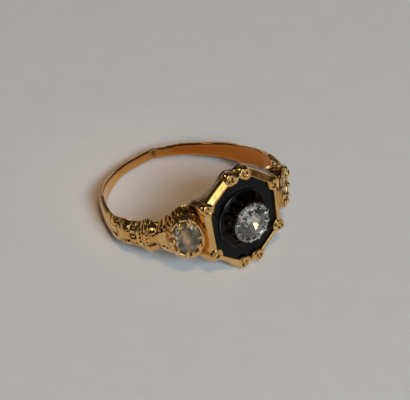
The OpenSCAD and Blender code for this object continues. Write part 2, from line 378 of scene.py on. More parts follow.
hoopLook = {
    "bandSteps": 250,
    "shoulderSteps": 250,    # on each side, where the carving is
    "shoulder": (43, 100),
    "outerPoints": 58,
    "innerPoints": 14,
    "bandFrom": 106,         # from here to the back the band tapers evenly
    "bandSide": 1.15,        # half width that the taper starts from, at 90 degrees
    "bandBack": 0.55,        # half width at the back
    "seamAngle": 166.5,
    "seamFlat": 18,          # degrees on both sides of the seam that are straight
    "seamRound": 3.5,
    "waves": (0.9, 0.02),    # size and height of the unevenness, as for the other pieces
    # degrees from the bezel, half width, height above the finger, share of the flat face, height of the sides
    "sections": [
        (30, 1.30, 0.90, 0.45, 0.40),
        (40, 1.90, 1.20, 0.45, 0.40),
        (46, 2.15, 1.32, 0.42, 0.45),
        (50, 2.15, 1.28, 0.42, 0.45),
        (53, 1.85, 1.16, 0.42, 0.38),
        (56.3, 1.60, 1.08, 0.44, 0.34),
        (59, 1.60, 1.06, 0.42, 0.34),
        (62, 1.78, 1.10, 0.40, 0.34),
        (64.5, 1.92, 1.12, 0.38, 0.34),
        (67, 1.78, 1.04, 0.42, 0.32),
        (69, 1.58, 0.92, 0.46, 0.30),
        (71.5, 1.48, 0.98, 0.46, 0.30),
        (74, 1.42, 0.99, 0.46, 0.30),
        (77, 1.38, 1.01, 0.44, 0.30),
        (80, 1.40, 1.03, 0.42, 0.30),
        (83, 1.42, 0.99, 0.42, 0.30),
        (86, 1.36, 0.90, 0.44, 0.28),
        (88.5, 1.26, 0.79, 0.46, 0.26),
        (91, 1.22, 0.74, 0.48, 0.24),
        (95, 1.14, 0.67, 0.50, 0.22),
        (98.5, 1.06, 0.60, 0.52, 0.20),
        (106, 0.98, 0.57, 0.56, 0.33),
        (114, 0.91, 0.57, 0.50, 0.35),
        (180, 0.55, 0.57, 0.50, 0.35),
    ],
    "faceRise": 0.05,        # doming of the outer face
    "faceCorner": 0.004,     # square of the rounding between the face and its bevels
    # the inside of the band, from its middle to the outer edge: place, inset, share of the side
    "inner": [(0.42, 0.20, 0.0), (0.56, 0.09, 0.10), (0.70, 0.02, 0.26), (0.84, 0.0, 0.45), (1.0, 0.0, 0.95)],
    # this old ring is bent a little, the left shoulder down and the right one up: degrees, shift
    "bendLeft": [(40, 0), (64, -0.60), (97, -0.75), (124, 0), (150, 0.02), (180, 0.20)],
    "bendRight": [
        (34, 0.30), (60, 0.06), (84, 0), (130, 0), (150, 0.20), (166, 0.22), (180, 0.20),
    ],
    # the right shoulder stands out, and the lower edge hangs down on the left: degrees, shift
    "spreadRight": [(34, 0), (46, 0.40), (58, 0.48), (72, 0.30), (84, 0.10), (100, 0)],
    "sagLeft": [(84, 0), (94, 0.36), (102, 0.52), (118, 0.70), (132, 0.60), (150, 0.20), (168, 0)],
    # how red the inside of the band is, all the way round: partly a redder skin, partly a painted warm
    # reflection of gold on gold
    "inside": [(60, 0.9), (100, 1.0), (140, 1.0), (166, 0.6), (185, 0.35), (250, 0.15), (300, 0.3)],
    # pale solder at the seam: reach, size of its ragged patches, share
    "solderReach": 0.5,
    "solderPatch": 0.4,
    "solderShare": 0.12,
    # dark smudge before the seam, weaker on the lower half: degrees before it, reach, fade
    "smudgeBefore": 1.2,
    "smudgeReach": 0.34,
    "smudgeFade": 0.6,
    "darkest": 0.75,         # of the smudge and of the painted shade on the edge
    # painted shade darkens the upper outer edge at the back, in place of a dark reflection: half its run in
    # degrees, place across the face, reach
    "darkRun": 76,
    "edgePlace": 0.92,
    "edgeReach": 0.42,
    # but painted highlights in pale patches near the seam: degrees, reach, share, scatter and size of the
    # patches, strength
    "highlightAngle": 157,
    "highlightReach": 8,
    "highlightShare": 0.9,
    "highlightScatter": 1.6,
    "highlightPatch": 0.625,
    "highlightShine": 1.6,
    # carved cross lines: degrees, half width, depth; those of the sides leave the face alone
    "crossLines": [
        (68.6, 0.26, 0.045),
        (71.3, 0.05, 0.05),
        (58.0, 0.05, 0.035),
        (56.0, 0.05, 0.035),
        (66.6, 0.09, 0.07),
        (61.4, 0.08, 0.06),
    ],
    "sideLines": [
        (98.6, 0.10, 0.14),
        (88.6, 0.12, 0.20),
        (85.6, 0.08, 0.16),
        (76.2, 0.10, 0.12),
        (71.9, 0.10, 0.14),
        (66.4, 0.12, 0.16),
        (61.4, 0.10, 0.14),
        (56.0, 0.10, 0.12),
    ],
    "sideFrom": 0.42,
    "sideFade": 0.25,
    # pits with a raised middle: degrees, height, half height, half length, depth
    "loops": [
        (74.0, 0.04, 0.32, 0.48, 0.20),
        (73.8, 0.92, 0.18, 0.52, 0.20),
        (73.8, -0.84, 0.15, 0.48, 0.18),
    ],
    "loopRing": (0.68, 0.34),    # middle and half width of their groove, as shares of the pit
    # narrow cuts where the shoulder ends: degrees, height, half height, half length, depth
    "slits": [
        (89.2, 0.16, 0.34, 0.10, 0.22),
        (87.6, -0.12, 0.09, 0.28, 0.18),
        (90.6, -0.40, 0.28, 0.09, 0.18),
        (88.0, -0.66, 0.28, 0.09, 0.16),
    ],
    # round dots: degrees, height, radius, depth
    "dots": [
        (68.9, 0.90, 0.14, 0.18),
        (68.9, 0.44, 0.14, 0.18),
        (68.9, -0.02, 0.14, 0.18),
        (68.9, -0.48, 0.14, 0.18),
        (53.0, 0.95, 0.16, 0.20),
        (50.9, 1.22, 0.16, 0.20),
        (53.0, -0.95, 0.16, 0.20),
        (50.9, -1.22, 0.16, 0.20),
    ],
    # grooves from one place to another: degrees, height, degrees, height, half width, depth
    "veins": [
        (87.6, 1.00, 82.4, 0.60, 0.11, 0.17),
        (82.4, 0.60, 76.8, 0.54, 0.11, 0.17),
        (66.0, 0.62, 62.8, 0.80, 0.10, 0.14),
        (62.8, 0.80, 59.0, 0.44, 0.10, 0.16),
        (59.0, 0.44, 55.4, 0.76, 0.10, 0.16),
        (55.4, 0.76, 50.5, 0.90, 0.09, 0.12),
        (98.6, 0.30, 89.0, 0.42, 0.09, 0.14),
    ],
    "veinMargin": 2,         # degrees beyond its ends that a groove can reach
    "lowerVeins": 0.5,       # share of their depth on the lower half
    # swellings: degrees, height, half height, half length, rise
    "leaves": [
        (93.8, 0.84, 0.48, 0.72, 0.20),
        (87.1, 0.98, 0.36, 0.24, 0.17),
        (84.4, 1.02, 0.36, 0.22, 0.14),
        (80.0, 0.96, 0.52, 0.62, 0.30),
        (59.8, 1.04, 0.54, 0.56, 0.30),
        (64.2, 1.36, 0.50, 0.32, 0.14),
        (74.0, 1.20, 0.26, 0.30, 0.08),
    ],
    "carvedRadius": 9.5,     # degrees become millimetres at this radius
    "cornerPower": 12,       # the carving fades only at the very corners
    "thinnest": 0.10,        # gold that the carving leaves over the finger
    "grimeAndShadeFrom": 0.03,       # depth at which grime and painted shade start, and over which they thicken
    "grimeAndShadeFade": 0.09,
    "beadAngle": 63.2,
    "beadRadius": 0.165,
    "beadRise": 0.04,
    "beadSpacing": 0.41,
    "beadCount": 5,
    "beadSegments": 12,
}


def bandHalfWidth(angle):
    look = hoopLook
    toBack = max(-math.cos(math.radians(angle)), 0)
    return look["bandSide"] + (look["bandBack"] - look["bandSide"]) * toBack


def seamStretch(turn):
    # the band is straight on both sides of the solder seam and has a blunt corner at it
    look = hoopLook
    offset = abs((turn - look["seamAngle"] + 180) % 360 - 180)
    offset = math.hypot(offset, look["seamRound"])
    if offset >= look["seamFlat"]:
        return 1
    return 1 / math.cos(math.radians(look["seamFlat"] - offset))


def arcLength(degrees, radius=hoopLook["carvedRadius"]):
    return math.radians(degrees) * radius


def fromLine(place, start, end):
    # distance of a place on the shoulder from the line between two others
    run = end - start
    share = limited((place - start).dot(run) / run.length_squared)
    return (place - start - run * share).length


def carving(angle, height):
    # rise of the carved surface less the depth of its cuts, and how much grime and painted shade lie in them
    look = hoopLook
    rise, depth = 0, 0
    onSide = limited((abs(height) - look["sideFrom"]) / look["sideFade"])
    for place, halfWidth, deep in look["crossLines"]:
        rise -= deep * cut(arcLength(angle - place), halfWidth)
    for place, halfWidth, deep in look["sideLines"]:
        depth = max(depth, deep * cut(arcLength(angle - place), halfWidth) * onSide)
    ring, ringWidth = look["loopRing"]
    for place, z, halfHeight, halfLength, deep in look["loops"]:
        reach = ((height - z) / halfHeight) ** 4 + (arcLength(angle - place) / halfLength) ** 4
        depth = max(depth, deep * cut(math.sqrt(math.sqrt(reach)) - ring, ringWidth))
    for place, z, halfHeight, halfLength, deep in look["slits"]:
        depth = max(depth, deep * dome(height - z, arcLength(angle - place), halfHeight, halfLength))
    for place, z, radius, deep in look["dots"]:
        depth = max(depth, deep * dome(height - z, arcLength(angle - place), radius, radius))
    # veins and leaves are the same on both halves
    mirrored, faint = abs(height), 1 if height > 0 else look["lowerVeins"]
    spot = Vector((arcLength(angle), mirrored))
    for fromAngle, fromHeight, toAngle, toHeight, halfWidth, deep in look["veins"]:
        if toAngle - look["veinMargin"] < angle < fromAngle + look["veinMargin"]:
            start, end = Vector((arcLength(fromAngle), fromHeight)), Vector((arcLength(toAngle), toHeight))
            depth = max(depth, faint * deep * cut(fromLine(spot, start, end), halfWidth))
    for place, z, halfHeight, halfLength, lift in look["leaves"]:
        rise += lift * dome(mirrored - z, arcLength(angle - place), halfHeight, halfLength)
    return rise - depth, min(max(depth - look["grimeAndShadeFrom"], 0) / look["grimeAndShadeFade"], 1)


def faceLift(share, height, flat, side):
    # the outer face is slightly domed and falls off in two straight bevels
    face = height - hoopLook["faceRise"] * (share / flat) ** 2
    bevel = side + (height - side) * (1 - abs(share)) / (1 - flat)
    gap = face - bevel
    return (face + bevel - math.sqrt(gap * gap + hoopLook["faceCorner"])) / 2


def turnOf(step):
    # degrees from the bezel of one step of the sweep; the steps lie closer on the shoulders
    look = hoopLook
    start, end = look["shoulder"]
    front = look["bandSteps"] // 5    # of the band's steps, between the bezel and each shoulder
    counts = [front, look["shoulderSteps"], look["bandSteps"] - 2 * front, look["shoulderSteps"], front]
    stops = [0, start, end, 360 - end, 360 - start, 360]
    for count, low, high in zip(counts, stops, stops[1:]):
        if step < count:
            return low + (high - low) * step / count
        step -= count
    return 0


def hoopShift(turn):
    # how far the bent ring stands out and up there
    look = hoopLook
    if turn < 0:
        return 0, along(look["bendLeft"], -turn)[0]
    return along(look["spreadRight"], turn)[0], along(look["bendRight"], turn)[0]


def hoopPoint(turn, around):
    # a point of the sweep and its grime and painted shade; around runs from -1 to 1 over the face and on to 2
    # and back inside
    look = hoopLook
    if turn > 180:
        turn -= 360
    angle = abs(turn)
    halfWidth, height, flat, side = along(look["sections"], angle)
    if angle > look["bandFrom"]:
        halfWidth = bandHalfWidth(angle)
    grime_and_shade = 0
    onFace = abs(around) <= 1
    if onFace:
        z = halfWidth * around
        lift = faceLift(around, height, flat, side)
        if look["shoulder"][0] < angle < look["shoulder"][1]:
            # the carving's cuts are darkened with grime and painted shade
            change, grime_and_shade = carving(angle, z)
            lift = max(lift + change * (1 - abs(around) ** look["cornerPower"]), look["thinnest"])
    else:
        place = 2 - abs(around)
        inset, sideShare = along(look["inner"], place)
        z = math.copysign((halfWidth - inset) * min(place / look["inner"][0][0], 1), around)
        lift = side * sideShare
    out, up = hoopShift(turn)
    if turn < 0 and around < 0:
        up -= along(look["sagLeft"], angle)[0] * min(abs(around), 1)
    reach = (fingerRadius + lift + out) * seamStretch(turn)
    a = math.radians(turn)
    outward = Vector((math.sin(a), -math.cos(a), 0))
    point = outward * reach + Vector((0, 0, z + up))
    if onFace:
        point += outward * unevenness(point, *look["waves"])
    return point, grime_and_shade


def makeHoop():
    look = hoopLook
    outer, inner = look["outerPoints"], look["innerPoints"]
    half = outer // 2
    steps = look["bandSteps"] + 2 * look["shoulderSteps"]
    bm = bmesh.new()
    place = Matrix.Translation((0, -fingerRadius, 0)) @ Matrix.Rotation(math.pi / 2, 4, "Y")
    bmesh.ops.create_circle(bm, cap_ends=False, segments=outer + inner, radius=1, matrix=place)
    bmesh.ops.spin(
        bm, geom=bm.verts[:] + bm.edges[:], cent=(0, 0, 0), axis=(0, 0, 1), dvec=(0, 0, 0),
        angle=math.tau, steps=steps, use_merge=True, use_duplicate=False
    )
    solder, grime_and_shade, red_tint_and_reflection = (bm.verts.layers.float.new(name) for name in ("solder", "grime_and_shade", "red_tint_and_reflection"))
    for vert in bm.verts:
        # the plain ring tells each point's step round the finger and its place round the section
        step = round(math.atan2(vert.co.x, -vert.co.y) / math.tau * steps) % steps
        place = math.atan2(vert.co.z, math.hypot(vert.co.x, vert.co.y) - fingerRadius)
        place = round(place / math.tau * (outer + inner))
        if abs(place) <= half:
            around = place / half
        else:
            around = math.copysign(1 + (abs(place) - half) / (inner / 2), place)
        turn = turnOf(step)
        vert.co, vert[grime_and_shade] = hoopPoint(turn, around)
        fromSeam = arcLength(turn - look["seamAngle"], fingerRadius)
        ragged = look["solderReach"] * (1 + unevenness(vert.co, look["solderPatch"], 1))
        vert[solder] = look["solderShare"] * cut(fromSeam, ragged)
        smudge = cut(fromSeam + arcLength(look["smudgeBefore"], fingerRadius), look["smudgeReach"])
        smudge *= limited(look["smudgeFade"] + vert.co.z)
        vert[grime_and_shade] = max(vert[grime_and_shade], look["darkest"] * smudge)
        # painted shade darkens the upper outer edge at the back, except where painted highlights in pale
        # patches brighten it near the seam
        if abs(turn - 180) < look["darkRun"] and around > 0:
            patch = look["highlightShare"] + unevenness(vert.co, look["highlightPatch"], look["highlightScatter"])
            paintedHighlight = look["highlightShine"] * cut(turn - look["highlightAngle"], look["highlightReach"]) * limited(patch)
            edge = cut(around - look["edgePlace"], look["edgeReach"])
            vert[solder] = max(vert[solder], min(edge * paintedHighlight, 1))
            vert[grime_and_shade] = max(vert[grime_and_shade], look["darkest"] * edge * (1 - min(paintedHighlight, 1)))
        if abs(around) > 1:
            # the inside of the band is redder towards the right: partly a redder skin, partly a painted warm
            # reflection of gold on gold
            vert[red_tint_and_reflection] = limited(along(look["inside"], turn)[0])
    angle = look["beadAngle"]
    halfWidth, height, flat, edge = along(look["sections"], angle)
    for side in (-1, 1):
        out, up = hoopShift(side * angle)
        for i in range(look["beadCount"]):
            z = (i - (look["beadCount"] - 1) / 2) * look["beadSpacing"]
            lift = out + faceLift(z / halfWidth, height, flat, edge) + look["beadRise"]
            centre = facingOut(side * angle, fingerRadius + lift) @ Vector((0, z + up, 0))
            addBall(bm, centre, look["beadRadius"], segments=look["beadSegments"])
    finishPiece(bm, "hoop", gold, "gold_mount")


makeHoop()
print("hoop made")


# Bezel: the lobed box with its rim and the eight scroll bosses

bezelLook = {
    "segments": 840,
    "front": 9.6,            # distance of the rim from the hoop's axis
    "pocket": 8.82,          # and of the floor under the plate
    "sideBoss": (4.2, 2.58),
    "endBoss": (0.92, 4.92),
    "sideFrom": 2,           # bosses farther than this to the side are side bosses
    # how far each boss sits off its ideal place, from the upper right one round the top
    "offPlace": [
        (0.05, -0.25), (-0.15, 0.12), (-0.18, 0.12), (-0.25, 0.28),
        (0.14, 0.04), (0.24, 0), (0.26, 0), (0.14, -0.12),
    ],
    # how far the straight stretches of rim and wall bow inwards, from the upper right one round the top
    "rimDips": [-0.12, 0.12, -0.12, 0.10, 0.12, 0.12, 0.12, 0.12],
    "wallDips": [-0.30, 0.12, 0.12, 0.12, 0.12, 0.12, 0.12, 0.12],
    "fullWidth": 0.45,       # of the rim, where the bows and blends are full
    "blendInside": 0.04,     # rounding between stretches and bosses
    "blendOutside": 0.26,
    "nearBoss": 1.6,         # bosses farther than this from a direction don't reach it
    "besideBoss": 2,         # how steeply the outline leaves a boss beside its round part
    "leastSlope": 0.05,      # stretches that a direction runs along or away from are left out
    # the rim's section, inside to outside: place across it, rise above the front, radius round a boss
    "rimSection": [
        (-0.22, -0.30, -0.84), (-0.22, -0.12, -0.84), (-0.217, -0.02, -0.835), (-0.205, 0.05, -0.815),
        (-0.18, 0.095, -0.77), (-0.15, 0.105, -0.70), (-0.12, 0.10, -0.62), (-0.09, 0.088, -0.53),
        (-0.06, 0.071, -0.43), (-0.03, 0.053, -0.35), (0, 0.034, -0.27), (0.025, 0.018, -0.19),
        (0.05, 0.003, -0.11), (0.07, -0.010, -0.03), (0.09, -0.023, 0.04), (0.11, -0.036, 0.11),
        (0.13, -0.048, 0.18), (0.155, -0.064, 0.25), (0.18, -0.080, 0.31), (0.21, -0.099, 0.37),
        (0.24, -0.118, 0.43), (0.27, -0.137, 0.48), (0.30, -0.157, 0.52), (0.33, -0.18, 0.55),
        (0.36, -0.21, 0.57), (0.385, -0.25, 0.585), (0.405, -0.30, 0.60), (0.42, -0.36, 0.61),
        (0.432, -0.44, 0.615), (0.44, -0.55, 0.62),
    ],
    "pocketRadius": -0.75,   # rings with a smaller radius also keep inside the plate's outline
    "detailFrom": -0.20,     # rings of the rim above this rise carry the scroll bosses
    # the wall behind it: share of its depth, place across, radius round the end and the side bosses
    "wall": [
        (0.10, 0.455, 0.64, 0.625), (0.24, 0.468, 0.73, 0.63), (0.40, 0.475, 0.86, 0.63),
        (0.60, 0.478, 0.98, 0.62), (0.80, 0.474, 1.06, 0.61), (1.0, 0.46, 1.09, 0.60),
    ],
    "backRings": (0.8, 0.6, 0.4, 0.2, 0),
    "bossReach": 0.54,       # the wall round a boss grows wider but no farther out than this
    "bossDistance": 5,       # of the end bosses from the middle, for that
    "waves": (0.8, 0.03),
    # painted shade on the upper walls: share, size and scatter of patches, most, height and depth where it is
    # full
    "wallPaintedShade": 0.80,
    "wallPatches": (1 / 0.9, 0.6),
    "wallPaintedShadeMost": 0.95,
    "wallPaintedShadeHeight": 2,
    "wallPaintedShadeDepth": 0.25,
    "bossLevel": 0.08,
    "bossRadius": 0.74,
    "bossShift": -0.12,
    "bossLip": 0.10,
    "bossLipRing": (0.66, 0.34),     # middle and half width of the lip, as shares of the boss
    "bossWaves": (0.3, 0.10),
    "bossShare": 0.75,       # how far the boss's own height replaces the rim's
    "bossFade": 4,
    "endTilt": 0.045,        # the scrolls of the end bosses lie a little aslant
    # pits in a boss: along the rim, across it, half width, half length, depth
    "scrollPits": [(-0.23, 0.02, 0.13, 0.17, 0.17), (0.23, -0.02, 0.13, 0.17, 0.17)],
    "pitGrimeAndShadeDepth": 0.2,
    "pitGrimeAndShadeMost": 0.6,
}


def isSideBoss(boss):
    return abs(boss.x) > bezelLook["sideFrom"]


def bossPlaces(offPlace):
    (sideX, sideZ), (endX, endZ) = bezelLook["sideBoss"], bezelLook["endBoss"]
    quarter = [Vector((sideX, sideZ)), Vector((endX, endZ))]
    top = quarter + [Vector((-spot.x, spot.y)) for spot in reversed(quarter)]
    places = top + [-spot for spot in top]
    if offPlace:
        places = [spot + Vector(shift) for spot, shift in zip(places, bezelLook["offPlace"])]
    return places


class Outline:
    # the bezel's outline through a set of bosses, measured from its middle
    def __init__(self, bosses):
        self.bosses = bosses
        self.found = {}

    def measure(self, direction):
        # distance of the straight stretch, its slope, bow and number, and how each near boss lies
        look = bezelLook
        heading = Vector((math.cos(direction), math.sin(direction)))
        straight = None
        for place, (start, end) in enumerate(zip(self.bosses, self.bosses[1:] + self.bosses[:1])):
            run = end - start
            outward = Vector((run.y, -run.x)).normalized()
            if start.dot(outward) < 0:
                outward = -outward
            slope = heading.dot(outward)
            if slope < look["leastSlope"]:
                continue
            reach = start.dot(outward) / slope
            if straight is None or reach < straight[0]:
                share = (heading * reach - start).dot(run) / run.length_squared
                straight = (reach, slope, 1 - (2 * share - 1) ** 2, place)
        near = []
        for boss in self.bosses:
            across = abs(boss.x * heading.y - boss.y * heading.x)
            depth = boss.dot(heading)
            if depth > 0 and across < look["nearBoss"]:
                near.append((across, depth, isSideBoss(boss)))
        return straight, near

    def reach(self, direction, grow, endRadius, sideRadius, behind=0):
        # distance of the outline, grow wider than the bosses' middles; a radius below 0 is cut out
        # of it, and behind runs from 0 at the rim to 1 at the finger hole
        look = bezelLook
        key = round(direction * 10000)
        if key not in self.found:
            self.found[key] = self.measure(direction)
        (reach, slope, bow, place), near = self.found[key]
        wide = max(grow, 0) / look["fullWidth"]
        dip = look["rimDips"][place] * (1 - behind) + look["wallDips"][place] * behind
        reach += (grow - dip * bow * wide) / slope
        for across, depth, isSide in near:
            radius = abs(sideRadius if isSide else endRadius)
            if behind and not isSide:
                shrink = 1 - (radius - look["bossReach"]) / look["bossDistance"]
                across, depth = across * shrink, depth * shrink
            if across < radius:
                half = math.sqrt(radius * radius - across * across)
            else:
                half = (radius - across) * look["besideBoss"]
            if endRadius >= 0:
                gap = depth + half - reach
                reach += (gap + math.sqrt(gap * gap + look["blendOutside"] ** 2 * wide)) / 2
            else:
                gap = depth - half - reach
                reach += (gap - math.sqrt(gap * gap + look["blendInside"] ** 2)) / 2
        return reach


bosses = bossPlaces(True)
rimOutline = Outline(bosses)
plateOutline = Outline(bossPlaces(False))


def bossDetail(x, z):
    # how far a place belongs to a scroll boss, the height there, and the grime and painted shade in its pits
    look = bezelLook
    for boss in bosses:
        tangent = Vector((-boss.y, boss.x)).normalized()
        if not isSideBoss(boss):
            tangent = Vector((-math.copysign(1, boss.y), look["endTilt"] * boss.x * boss.y)).normalized()
        outward = Vector((tangent.y, -tangent.x))
        away = Vector((x, z)) - boss - outward * look["bossShift"]
        share = away.length / look["bossRadius"]
        if share < 1:
            a, b = away.dot(tangent), away.dot(outward)
            ring, ringWidth = look["bossLipRing"]
            rise = look["bossLevel"] + look["bossLip"] * cut(share - ring, ringWidth)
            rise += unevenness(Vector((x, 0, z)), *look["bossWaves"])
            depth = 0
            for place, shift, halfWidth, halfLength, deep in look["scrollPits"]:
                depth = max(depth, deep * dome(a - place, b - shift, halfWidth, halfLength))
            # grime and painted shade, deeper pits darker
            grime_and_shade = min(depth / look["pitGrimeAndShadeDepth"], look["pitGrimeAndShadeMost"])
            return look["bossShare"] * (1 - share ** look["bossFade"]), rise - depth, grime_and_shade
    return 0, 0, 0


def wallPaintedShade(point, depth):
    # painted shade in patches on the upper walls, darker higher up, none at the rim
    look = bezelLook
    patch = min(look["wallPaintedShade"] + unevenness(point, *look["wallPatches"]), look["wallPaintedShadeMost"])
    return limited(point.z / look["wallPaintedShadeHeight"]) * min(depth / look["wallPaintedShadeDepth"], 1) * patch


def makeBezel():
    look = bezelLook
    bm = bmesh.new()
    place = Matrix.Translation((0, -look["pocket"], 0)) @ Matrix.Rotation(math.pi / 2, 4, "X")
    bmesh.ops.create_circle(bm, cap_ends=True, segments=look["segments"], radius=1, matrix=place)
    grime_and_shade = bm.verts.layers.float.new("grime_and_shade")
    rimBack = look["front"] + look["rimSection"][-1][1]

    def shapeRing(verts, grow, endRadius, sideRadius, distance=None, depth=0, scale=1, detail=False):
        # lays a ring at a distance from the hoop's axis, or at a depth between the rim and the finger hole
        for vert in verts:
            direction = math.atan2(vert.co.z, vert.co.x)
            reach = rimOutline.reach(direction, grow, endRadius, sideRadius, depth)
            if endRadius < look["pocketRadius"]:
                reach = min(reach, plateOutline.reach(direction, grow, endRadius, sideRadius))
            elif depth:
                # behind the rim the bosses stand in their ideal places
                ideal = plateOutline.reach(direction, grow, endRadius, sideRadius, depth)
                reach += (ideal - reach) * depth
            x, z = scale * reach * math.cos(direction), scale * reach * math.sin(direction)
            vert[grime_and_shade] = 0
            if distance is None:
                y = rimBack + (math.sqrt(fingerRadius ** 2 - x * x) - rimBack) * depth
                # painted shade on the upper walls
                vert[grime_and_shade] = wallPaintedShade(Vector((x, y, z)), depth)
            else:
                y = distance
            if detail:
                # the bosses' pits carry grime and painted shade
                share, rise, vert[grime_and_shade] = bossDetail(x, z)
                y += (look["front"] + rise - y) * share
            if depth < 1:
                y += unevenness(Vector((x, y, z)), *look["waves"])
            vert.co = Vector((x, -y, z))

    def nextRing(ring, *shape, **more):
        made = bmesh.ops.extrude_edge_only(bm, edges=ring)["geom"]
        shapeRing([item for item in made if isinstance(item, bmesh.types.BMVert)], *shape, **more)
        return [item for item in made if isinstance(item, bmesh.types.BMEdge) and item.is_boundary]

    ring = bm.edges[:]
    grow, rise, radius = look["rimSection"][0]
    shapeRing(bm.verts[:], grow, radius, radius, look["pocket"])
    for grow, rise, radius in look["rimSection"]:
        ring = nextRing(ring, grow, radius, radius, look["front"] + rise, detail=rise > look["detailFrom"])
    for depth, grow, endRadius, sideRadius in look["wall"]:
        ring = nextRing(ring, grow, endRadius, sideRadius, depth=depth)
    for scale in look["backRings"]:
        # the wall's last row, drawn in to the middle of the back
        ring = nextRing(ring, grow, endRadius, sideRadius, depth=1, scale=scale)
    bmesh.ops.remove_doubles(bm, verts=bm.verts, dist=mergeDistance)
    finishPiece(bm, "bezel", gold, "gold_mount")


makeBezel()
print("bezel made")


# Side collets: ribbed cups with grains pushed over the stones

colletLook = {
    "angle": {-1: 37.8, 1: 40.3},
    "height": 1.95,          # of the rim above the finger
    "stoneRadius": 1.6,
    "steps": 240,
    "waves": (0.7, 0.02),
    # the stones are a little taller than wide, and so is the whole collet; the right one sits higher
    "wide": 0.89,
    "tall": 1.15,
    "raised": {-1: 0, 1: 0.25},
    # the foot's share of the tallness and its shift up, both fading out above footTop
    "foot": {-1: (1.0, 0), 1: (0.84, -0.30)},
    "footTop": 0.6,
    "footFade": 1.2,
    # radius beyond the stone and height above the finger, from the foot to the rim and into the cup
    "profile": [
        (-1.6, -0.60), (0.90, -0.60), (0.96, 0.20), (0.98, 0.45), (0.97, 0.62), (0.93, 0.78),
        (0.88, 0.92), (0.83, 1.04), (0.78, 1.14), (0.73, 1.22), (0.66, 1.28), (0.60, 1.33),
        (0.56, 1.40), (0.53, 1.48), (0.50, 1.56), (0.46, 1.62), (0.42, 1.67), (0.41, 1.73),
        (0.42, 1.80), (0.40, 1.87), (0.34, 1.92), (0.26, 1.94), (0.17, 1.93), (0.09, 1.89),
        (0.04, 1.82), (-0.02, 1.70), (-0.30, 1.40), (-0.9, 0.75), (-1.6, 0.70),
    ],
    "outside": 0.3,          # beyond the stone's edge, where the outer wall starts
    "grimeAndShadePatch": 1 / 1.1,
    # grime in the foiled cup: share, scatter, most; painted shade on the rim, darker towards its top: share,
    # share of its top, scatter, most
    "cupTop": 1.8,
    "cupGrime": (0.2, 1.4, 0.8),
    "rimFoot": 1.7,
    "rimPaintedShade": (0.30, 0.45, 0.8, 0.9),
    # rounded ribs with sharp grooves between them, fading where the collet stands against the bezel
    "ribs": 24,
    "ribDepth": 0.12,
    "ribFrom": 0.35,
    "ribTo": 1.72,
    "ribLean": 0.9,
    "ribSharpness": 1.6,
    "ribByBezel": (0.6, 0.4),
    # painted shade over the ribbed wall, darkest in its grooves with grime, and a painted warm reflection of
    # gold on gold
    "ribGrimeAndShade": 0.25,
    "ribGrimeAndShadeSharpness": 2.5,
    "ribRedReflection": 0.8,
    "grains": 10,
    "grainTurn": {-1: -12, 1: 0},
    "grainRadius": 0.31,
    "grainShape": (1.3, 0.9, 0.9),
    "grainInset": 0.02,
    "grainRise": 0.01,
    # pale colour on the grains, a painted highlight
    "grainHighlight": 0.20,
    # scatter of the grains' turn, reach and size: amount, and where the noise is read
    "turnScatter": (0.25, 2.3, 0.5, 0),
    "reachScatter": (0.15, 1.3, 0, 4.5),
    "sizeScatter": (0.6, 1.7, 0.3, 0.2),
}


def colletPlace(side, height):
    look = colletLook
    return (
        facingOut(side * look["angle"][side], height)
        @ Matrix.Translation((0, look["raised"][side], 0))
        @ Matrix.Diagonal((look["wide"], look["tall"], 1, 1))
    )


def scatter(i, side, amount, step, shift, row):
    # sets each grain of each collet a little off
    return amount * noise.noise(Vector((i * step, side + shift, row)))


def addGrains(bm, side, solder):
    look = colletLook
    for i in range(look["grains"]):
        turn = (i + 0.5) * math.tau / look["grains"] + math.radians(look["grainTurn"][side])
        turn += scatter(i, side, *look["turnScatter"])
        reach = look["stoneRadius"] - look["grainInset"] + scatter(i, side, *look["reachScatter"])
        size = look["grainRadius"] * (1 + scatter(i, side, *look["sizeScatter"]))
        centre = Vector((reach * math.cos(turn), reach * math.sin(turn), look["height"] + look["grainRise"]))
        for vert in addBall(bm, centre, size, look["grainShape"], turn):
            # painted highlight on the grains
            vert[solder] = look["grainHighlight"]


